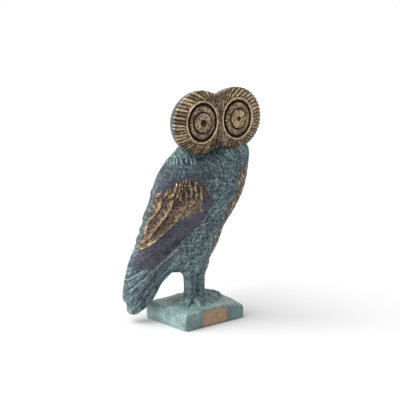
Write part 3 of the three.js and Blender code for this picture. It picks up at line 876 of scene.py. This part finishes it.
def mesh_of(name, points, faces, masks):
    """Mesh of points in millimetres, with each mask as an attribute of its points."""
    mesh = bpy.data.meshes.new(name)
    mesh.vertices.add(len(points))
    mesh.vertices.foreach_set("co", (points * MM).astype(np.float32).ravel())
    mesh.loops.add(faces.size)
    mesh.loops.foreach_set("vertex_index", faces.astype(np.int32).ravel())
    mesh.polygons.add(len(faces))
    mesh.polygons.foreach_set("loop_start", np.arange(0, faces.size, 3, dtype=np.int32))
    for mask, values in masks.items():
        attribute = mesh.attributes.new(mask, "FLOAT", "POINT")
        attribute.data.foreach_set("value", values.astype(np.float32))
    mesh.update(calc_edges=True)
    mesh.validate()
    return mesh


def owl(material):
    """The whole casting as one piece: skin, relief, cast grain, and faces spent where the form needs them."""
    points, faces = skin_mesh()
    normal = slope_of(points)
    normal = normal / np.linalg.norm(normal, axis=1)[:, None]
    height, masks = carve(points)
    points = points + (height + stroke_cuts(points))[:, None] * normal
    points[:, 2] = np.maximum(points[:, 2], 0)
    rough = mesh_of("owl_skin", points, faces, masks)
    maker = bpy.data.objects.new("owl_maker", rough)
    bpy.context.scene.collection.objects.link(maker)
    tree = cast_skin_tree()
    skin = maker.modifiers.new("cast_skin", "NODES")
    skin.node_group = tree
    sockets = {item.name: item.identifier for item in tree.interface.items_tree if item.in_out == "INPUT"}
    for name, value in CAST.items():
        skin[sockets[name]] = value
    skin[sockets["Metal"]] = material
    fewer = maker.modifiers.new("fewer_faces", "DECIMATE")
    fewer.ratio = FACES_LEFT / len(faces)
    evaluated = maker.evaluated_get(bpy.context.evaluated_depsgraph_get())
    mesh = bpy.data.meshes.new_from_object(evaluated)
    bpy.data.objects.remove(maker)
    mesh.name = "owl_statue"
    mesh.polygons.foreach_set("use_smooth", np.ones(len(mesh.polygons), bool))
    piece = bpy.data.objects.new("owl_statue", mesh)
    bpy.context.scene.collection.objects.link(piece)
    return piece


# Materials

def linear(red, green, blue):
    """Colour seen on a screen, 0 to 255, as the shader's own linear values."""
    return tuple(((c / 255 + 0.055) / 1.055) ** 2.4 if c > 10 else c / 255 / 12.92 for c in (red, green, blue)) + (1,)


SLATE = linear(38, 46, 54)
SEA = linear(74, 90, 97)
VERDIGRIS = linear(110, 131, 136)
FROST = linear(160, 184, 186)
SHALLOW = linear(116, 140, 137)
CHALK = linear(184, 212, 206)
UMBER = linear(38, 30, 36)
BROWN = linear(86, 70, 65)
BRONZE = linear(142, 121, 92)
GILT = linear(208, 190, 154)
OLIVE = linear(138, 126, 72)
ROSE = linear(140, 88, 72)
NIGHT = linear(34, 37, 48)
STEEL = linear(106, 110, 122)
DUSK = linear(78, 72, 84)
TAN = linear(178, 147, 116)
TAN_SHADE = linear(146, 116, 92)
TAN_STAIN = linear(134, 84, 70)
PLUM = linear(66, 52, 60)
TURQUOISE = linear(84, 176, 156)
COPPER = linear(196, 104, 82)
FOREST = linear(40, 78, 66)

# Places where the patina differs: middle and half size in millimetres, how ragged and how soft the edge is
PATCH = {"middle": (-0.9, -22, 5.6), "half": (12, 3, 5.4), "ragged": 1.2, "soft": 0.6}
PATCH_BORDER = {"middle": (-0.7, -22, 6), "half": (14.6, 3, 8), "ragged": 2.4, "soft": 1.4}
TURQUOISE_POOLS = [
    {"middle": (-19, -8.5, 12), "half": (6.5, 6, 2.6), "ragged": 1.6, "soft": 0.8},
    {"middle": (9.5, 0, 16), "half": (4.5, 4.5, 1.6), "ragged": 1.4, "soft": 0.7},
]
COPPER_SPOT = {"middle": (1.3, 2.2, 16), "half": (2.1, 2.3, 1.8), "ragged": 1.2, "soft": 0.7}
GREEN_HOLLOWS = {"middle": (-11.5, -6, 13.6), "half": (6, 3.4, 1.6), "ragged": 2.2, "soft": 0.9}


def node(tree, kind, **settings):
    made = tree.nodes.new(kind)
    for name, value in settings.items():
        if name in made.inputs:
            made.inputs[name].default_value = value
        else:
            setattr(made, name, value)
    return made


def mottle_group():
    """Cloudy variation over a surface, as a mask from 0 to 1 that a contrast sharpens."""
    tree = bpy.data.node_groups.new("mottle", "ShaderNodeTree")
    tree.interface.new_socket("Scale", in_out="INPUT", socket_type="NodeSocketFloat")
    tree.interface.new_socket("Low", in_out="INPUT", socket_type="NodeSocketFloat")
    tree.interface.new_socket("High", in_out="INPUT", socket_type="NodeSocketFloat")
    tree.interface.new_socket("Mask", in_out="OUTPUT", socket_type="NodeSocketFloat")
    start, end = tree.nodes.new("NodeGroupInput"), tree.nodes.new("NodeGroupOutput")
    place = tree.nodes.new("ShaderNodeTexCoord")
    noise = node(tree, "ShaderNodeTexNoise", Detail=4, Roughness=0.62)
    spread = node(tree, "ShaderNodeMapRange", interpolation_type="SMOOTHSTEP")
    link_chain(
        tree,
        (place.outputs["Object"], noise.inputs["Vector"]),
        (start.outputs["Scale"], noise.inputs["Scale"]),
        (noise.outputs["Fac"], spread.inputs["Value"]),
        (start.outputs["Low"], spread.inputs["From Min"]),
        (start.outputs["High"], spread.inputs["From Max"]),
        (spread.outputs["Result"], end.inputs["Mask"]),
    )
    return tree


def spot_group(name, squarings):
    """Soft ragged patch: 1 within half sizes of a middle, 0 outside, squarer the more often it is squared."""
    tree = bpy.data.node_groups.new(name, "ShaderNodeTree")
    tree.interface.new_socket("Middle", in_out="INPUT", socket_type="NodeSocketVector")
    tree.interface.new_socket("Half", in_out="INPUT", socket_type="NodeSocketVector")
    tree.interface.new_socket("Ragged", in_out="INPUT", socket_type="NodeSocketFloat")
    tree.interface.new_socket("Softness", in_out="INPUT", socket_type="NodeSocketFloat")
    tree.interface.new_socket("Mask", in_out="OUTPUT", socket_type="NodeSocketFloat")
    start, end = tree.nodes.new("NodeGroupInput"), tree.nodes.new("NodeGroupOutput")
    place = tree.nodes.new("ShaderNodeTexCoord")
    offset = node(tree, "ShaderNodeVectorMath", operation="SUBTRACT")
    share = node(tree, "ShaderNodeVectorMath", operation="DIVIDE")
    power = share
    for _ in range(squarings):
        squared = node(tree, "ShaderNodeVectorMath", operation="MULTIPLY")
        link_chain(tree, (power.outputs["Vector"], squared.inputs[0]), (power.outputs["Vector"], squared.inputs[1]))
        power = squared
    total = node(tree, "ShaderNodeVectorMath", operation="DOT_PRODUCT")
    total.inputs[1].default_value = (1, 1, 1)
    noise = node(tree, "ShaderNodeTexNoise", Scale=650, Detail=3)
    waver = node(tree, "ShaderNodeMath", operation="MULTIPLY_ADD")
    soft = node(tree, "ShaderNodeMath", operation="SUBTRACT")
    soft.inputs[0].default_value = 1
    beyond = node(tree, "ShaderNodeMath", operation="ADD")
    beyond.inputs[0].default_value = 1
    inside = node(tree, "ShaderNodeMapRange", interpolation_type="SMOOTHSTEP")
    inside.inputs["To Min"].default_value = 1
    inside.inputs["To Max"].default_value = 0
    link_chain(
        tree,
        (place.outputs["Object"], offset.inputs[0]),
        (start.outputs["Middle"], offset.inputs[1]),
        (offset.outputs["Vector"], share.inputs[0]),
        (start.outputs["Half"], share.inputs[1]),
        (power.outputs["Vector"], total.inputs[0]),
        (place.outputs["Object"], noise.inputs["Vector"]),
        (noise.outputs["Fac"], waver.inputs[0]),
        (start.outputs["Ragged"], waver.inputs[1]),
        (total.outputs["Value"], waver.inputs[2]),
        (waver.outputs[0], inside.inputs["Value"]),
        (start.outputs["Softness"], soft.inputs[1]),
        (soft.outputs[0], inside.inputs["From Min"]),
        (start.outputs["Softness"], beyond.inputs[1]),
        (beyond.outputs[0], inside.inputs["From Max"]),
        (inside.outputs["Result"], end.inputs["Mask"]),
    )
    return tree


class Painter:
    """Short ways to write one material's nodes."""

    def __init__(self, name):
        self.material = bpy.data.materials.new(name)
        self.material.use_nodes = True
        self.tree = self.material.node_tree
        self.shader = self.tree.nodes["Principled BSDF"]

    def mask(self, name):
        return node(self.tree, "ShaderNodeAttribute", attribute_name=name).outputs["Fac"]

    def mottle(self, scale, low=0.35, high=0.65):
        made = node(self.tree, "ShaderNodeGroup", node_tree=MOTTLE)
        for name, value in (("Scale", scale), ("Low", low), ("High", high)):
            made.inputs[name].default_value = value
        return made.outputs["Mask"]

    def spot(self, middle, half, ragged, soft, square=False):
        made = node(self.tree, "ShaderNodeGroup", node_tree=PLATE if square else SPOT)
        made.inputs["Middle"].default_value = [c * MM for c in middle]
        made.inputs["Half"].default_value = [c * MM for c in half]
        made.inputs["Ragged"].default_value = ragged
        made.inputs["Softness"].default_value = soft
        return made.outputs["Mask"]

    def sum(self, operation, a, b, c=None, clamp=False):
        made = node(self.tree, "ShaderNodeMath", operation=operation, use_clamp=clamp)
        for socket, value in zip(made.inputs, (a, b, c)):
            if isinstance(value, (int, float)):
                socket.default_value = value
            elif value is not None:
                self.tree.links.new(value, socket)
        return made.outputs[0]

    def mix(self, share, first, second, blend="MIX"):
        made = node(self.tree, "ShaderNodeMix", data_type="RGBA", blend_type=blend)
        for socket, value in ((made.inputs[0], share), (made.inputs[6], first), (made.inputs[7], second)):
            if isinstance(value, (int, float, tuple)):
                socket.default_value = value
            else:
                self.tree.links.new(value, socket)
        return made.outputs[2]

    def ramp(self, share, *stops):
        made = node(self.tree, "ShaderNodeValToRGB")
        steps = made.color_ramp.elements
        while len(steps) < len(stops):
            steps.new(0.5)
        for step, (place, colour) in zip(steps, stops):
            step.position = place
            step.color = colour
        self.tree.links.new(share, made.inputs[0])
        return made.outputs[0]

    def feed(self, name, value):
        self.tree.links.new(value, self.shader.inputs[name])


MOTTLE = mottle_group()
SPOT = spot_group("spot", 1)
PLATE = spot_group("plate", 3)


def teal_patina(paint, worn):
    """Verdigris that is dark in hollows and chalky on crests, with turquoise pools and green hollows."""
    fine, pale = paint.mottle(1000, 0.38, 0.62), paint.mask("pale")
    green = paint.ramp(worn, (0.02, SLATE), (0.4, SEA), (0.72, VERDIGRIS), (1.0, FROST))
    cloudy = paint.sum("MULTIPLY_ADD", paint.mottle(150, 0.3, 0.7), 0.6, paint.sum("MULTIPLY", fine, 0.4))
    chalky = paint.ramp(cloudy, (0.1, SHALLOW), (0.95, CHALK))
    # The pale mask lays a chalky coat; on the block's front face it is lowered as painted shade.
    green = paint.mix(paint.sum("MULTIPLY", pale, 0.8), green, chalky)
    green = paint.mix(paint.sum("MULTIPLY", paint.mottle(230, 0.58, 0.7), 0.35), green, TURQUOISE)
    for pool in TURQUOISE_POOLS:
        green = paint.mix(paint.sum("MULTIPLY", paint.spot(**pool), 0.75), green, TURQUOISE)
    green = paint.mix(paint.sum("MULTIPLY", paint.spot(**GREEN_HOLLOWS), 0.6), green, FOREST)
    return paint.mix(paint.mask("turquoise"), green, TURQUOISE)


def rubbed_metal(paint, worn):
    """Bronze where it is handled: umber in the grooves, olive and rosy by turns, gilt on the crests."""
    metal = paint.ramp(worn, (0.05, UMBER), (0.36, BROWN), (0.68, BRONZE), (1.0, GILT))
    metal = paint.mix(paint.sum("MULTIPLY", paint.mottle(190, 0.45, 0.7), 0.45), metal, OLIVE, "OVERLAY")
    return paint.mix(paint.sum("MULTIPLY", paint.mottle(270, 0.5, 0.72), 0.4), metal, ROSE, "SOFT_LIGHT")


def bare_patch(paint, colour):
    """Plain tan patch on the block's front, with a dark border and a few stains."""
    border = paint.sum("MULTIPLY", paint.spot(**PATCH_BORDER, square=True), 0.85)
    tan = paint.mix(paint.sum("MULTIPLY", paint.mottle(420, 0.4, 0.7), 0.7), TAN, TAN_SHADE)
    tan = paint.mix(paint.sum("MULTIPLY", paint.mottle(640, 0.6, 0.72), 0.55), tan, TAN_STAIN)
    patch = paint.spot(**PATCH, square=True)
    return paint.mix(patch, paint.mix(border, colour, PLUM), tan), patch


def patinated_bronze():
    """Verdigris over dark metal, blue-black where it was left alone, and bronze where it is rubbed bare; the
    blue-black also lays painted shade down one leg.
    """
    paint = Painter("patinated_bronze")
    crest, bronze, night, dusk, polish = (
        paint.mask(name) for name in ("crest", "bronze", "night", "dusk", "polish"))
    broad = paint.mottle(90, 0.3, 0.7)
    middle = paint.mottle(420, 0.3, 0.7)
    fine = paint.mottle(1000, 0.38, 0.62)
    worn = paint.sum("MULTIPLY_ADD", broad, 0.2, crest)
    worn = paint.sum("MULTIPLY_ADD", middle, 0.3, worn)
    worn = paint.sum("MULTIPLY_ADD", fine, 0.5, worn)
    worn = paint.sum("SUBTRACT", worn, 0.5, clamp=True)

    black = paint.ramp(worn, (0.08, NIGHT), (0.95, STEEL))
    black = paint.mix(paint.sum("MULTIPLY", dusk, paint.mottle(300, 0.4, 0.6)), black, DUSK)
    # The night mask is blue-black patina, and on the near leg's right side it is painted shade.
    colour = paint.mix(night, teal_patina(paint, worn), black)
    ragged = paint.sum("MULTIPLY_ADD", fine, 0.3, paint.sum("MULTIPLY_ADD", middle, 0.3, bronze))
    bare = paint.sum("MULTIPLY_ADD", ragged, 2.2, -1.2, clamp=True)
    colour = paint.mix(bare, colour, rubbed_metal(paint, worn))
    colour = paint.mix(paint.sum("MULTIPLY", paint.spot(**COPPER_SPOT), 0.85), colour, COPPER)
    colour, patch = bare_patch(paint, colour)
    paint.feed("Base Color", colour)

    shine = paint.sum("MAXIMUM", paint.sum("MULTIPLY", bare, 0.7), paint.sum("MULTIPLY", patch, 0.5))
    paint.feed("Metallic", paint.sum("MULTIPLY_ADD", night, 0.25, shine, clamp=True))
    rough = paint.sum("MULTIPLY_ADD", paint.sum("MAXIMUM", bare, night), -0.16, 0.6)
    rough = paint.sum("MULTIPLY_ADD", paint.sum("MAXIMUM", polish, paint.mask("pale")), -0.2, rough)
    paint.feed("Roughness", paint.sum("MULTIPLY_ADD", fine, -0.12, rough))
    paint.shader.inputs["Specular IOR Level"].default_value = 0.3
    bump = node(paint.tree, "ShaderNodeBump", Strength=0.5, Distance=0.0002)
    paint.tree.links.new(fine, bump.inputs["Height"])
    paint.feed("Normal", bump.outputs["Normal"])
    return paint.material


def studio_floor():
    material = bpy.data.materials.new("pale_paper")
    material.use_nodes = True
    shader = material.node_tree.nodes["Principled BSDF"]
    shader.inputs["Base Color"].default_value = (0.92, 0.92, 0.92, 1)
    shader.inputs["Roughness"].default_value = 0.9
    shader.inputs["Emission Color"].default_value = (1, 1, 1, 1)
    shader.inputs["Emission Strength"].default_value = 0.03
    mesh = bpy.data.meshes.new("floor")
    half = 6
    mesh.from_pydata([(-half, -half, 0), (half, -half, 0), (half, half, 0), (-half, half, 0)], [], [(0, 1, 2, 3)])
    mesh.materials.append(material)
    floor = bpy.data.objects.new("floor", mesh)
    bpy.context.scene.collection.objects.link(floor)
    return floor


# Camera and light

CAMERA = {"azimuth": -40.3, "elevation": 11.2, "distance": 0.745, "lens": 100, "aim": 0.00345, "height": 0.0818}
WORLD = 0.42
SUN = {"strength": 2.3, "towards": (-0.55, 0.18, 0.82), "angle": 60}
RIM = {"strength": 0.9, "towards": (-0.8, 0.6, 0.35), "angle": 50}


def camera():
    azimuth, elevation = math.radians(CAMERA["azimuth"]), math.radians(CAMERA["elevation"])
    back = Vector((math.sin(azimuth) * math.cos(elevation), -math.cos(azimuth) * math.cos(elevation),
                   math.sin(elevation)))
    aim = Vector((CAMERA["aim"] * math.cos(azimuth), CAMERA["aim"] * math.sin(azimuth), CAMERA["height"]))
    lens = bpy.data.cameras.new("camera")
    lens.lens = CAMERA["lens"]
    lens.sensor_width = 36
    eye = bpy.data.objects.new("camera", lens)
    eye.location = aim + back * CAMERA["distance"]
    eye.rotation_euler = (-back).to_track_quat("-Z", "Y").to_euler()
    bpy.context.scene.collection.objects.link(eye)
    bpy.context.scene.camera = eye


def sun(name, spec):
    light = bpy.data.lights.new(name, "SUN")
    light.energy = spec["strength"]
    light.angle = math.radians(spec["angle"])
    lamp = bpy.data.objects.new(name, light)
    lamp.rotation_euler = Vector(spec["towards"]).to_track_quat("Z", "Y").to_euler()
    bpy.context.scene.collection.objects.link(lamp)


def studio():
    """White surround, dimmer as light than as seen or mirrored, with a broad soft key from above left."""
    world = bpy.data.worlds.new("studio")
    world.use_nodes = True
    bpy.context.scene.world = world
    tree = world.node_tree
    background = tree.nodes["Background"]
    background.inputs["Color"].default_value = (1, 1, 1, 1)
    path = tree.nodes.new("ShaderNodeLightPath")
    level = node(tree, "ShaderNodeMapRange")
    level.inputs["To Min"].default_value = WORLD
    level.inputs["To Max"].default_value = 1
    seen = node(tree, "ShaderNodeMath", operation="MAXIMUM")
    link_chain(
        tree,
        (path.outputs["Is Camera Ray"], seen.inputs[0]),
        (path.outputs["Is Glossy Ray"], seen.inputs[1]),
        (seen.outputs[0], level.inputs["Value"]),
        (level.outputs["Result"], background.inputs["Strength"]),
    )
    sun("key", SUN)
    sun("rim", RIM)
    bpy.context.scene.view_settings.view_transform = "Standard"


# Cast grain: heights and sizes in metres, as the tree reads the finished places
CAST = {"Grain Height": 0.00022, "Grain Scale": 420.0, "Pit Depth": 0.00012, "Pit Scale": 700.0, "Seed": 4.0}

camera()
studio()
statue = owl(patinated_bronze())
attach(statue, "root")
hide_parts("owl_on_block")
studio_floor()
